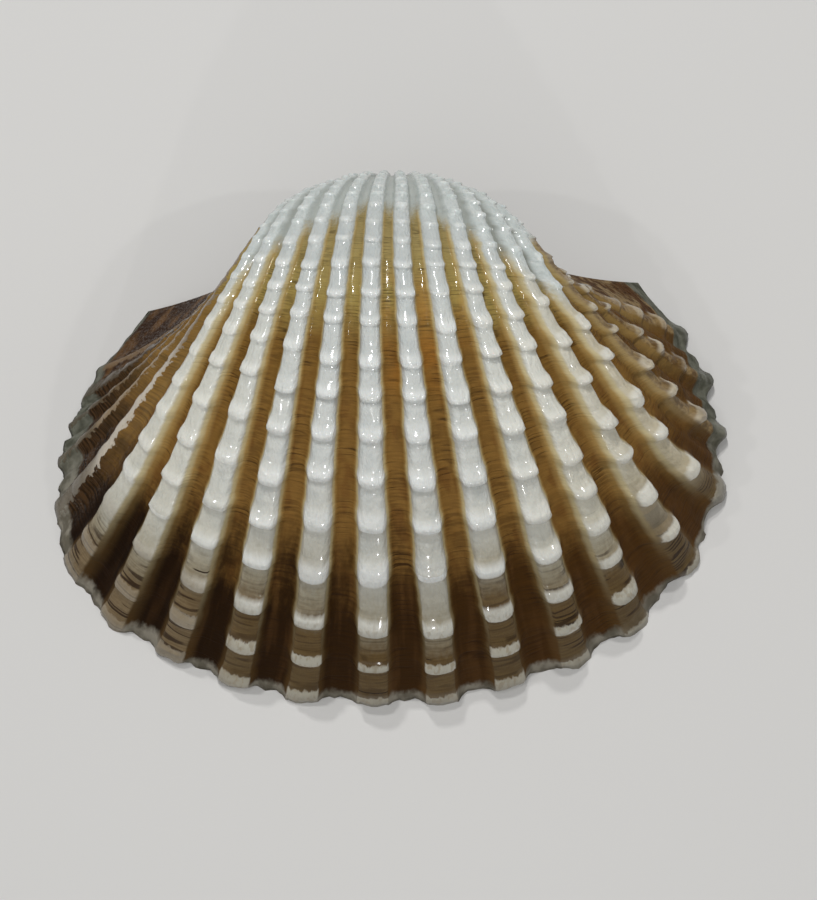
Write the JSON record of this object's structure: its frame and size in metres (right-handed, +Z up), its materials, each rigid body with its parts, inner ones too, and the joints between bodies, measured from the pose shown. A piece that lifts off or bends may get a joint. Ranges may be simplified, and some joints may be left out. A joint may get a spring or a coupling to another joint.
{
  "type": "ark clam shell",
  "caption": "Single ark clam valve: a deep oval dish with knobbly radial ribs outside, a curled beak over a straight toothed hinge and a scalloped rim, lying open side down",
  "frame": {"origin": "centre of the bounding box in plan, on the plane that the rim of the valve rests on", "axes": "+Z up, out of the domed ribbed outside; +X along the hinge towards the front end of the shell; +Y from the lower edge towards the hinge and the beak"},
  "size_m": [0.05, 0.0377, 0.018],
  "materials": {
    "shell": "calcium carbonate shell, satin to glossy: bluish white ribs with golden brown furrows outside, porcelain white inside"
  },
  "bodies": {
    "root": {"valve": "shell"}
  },
  "joints": []
}
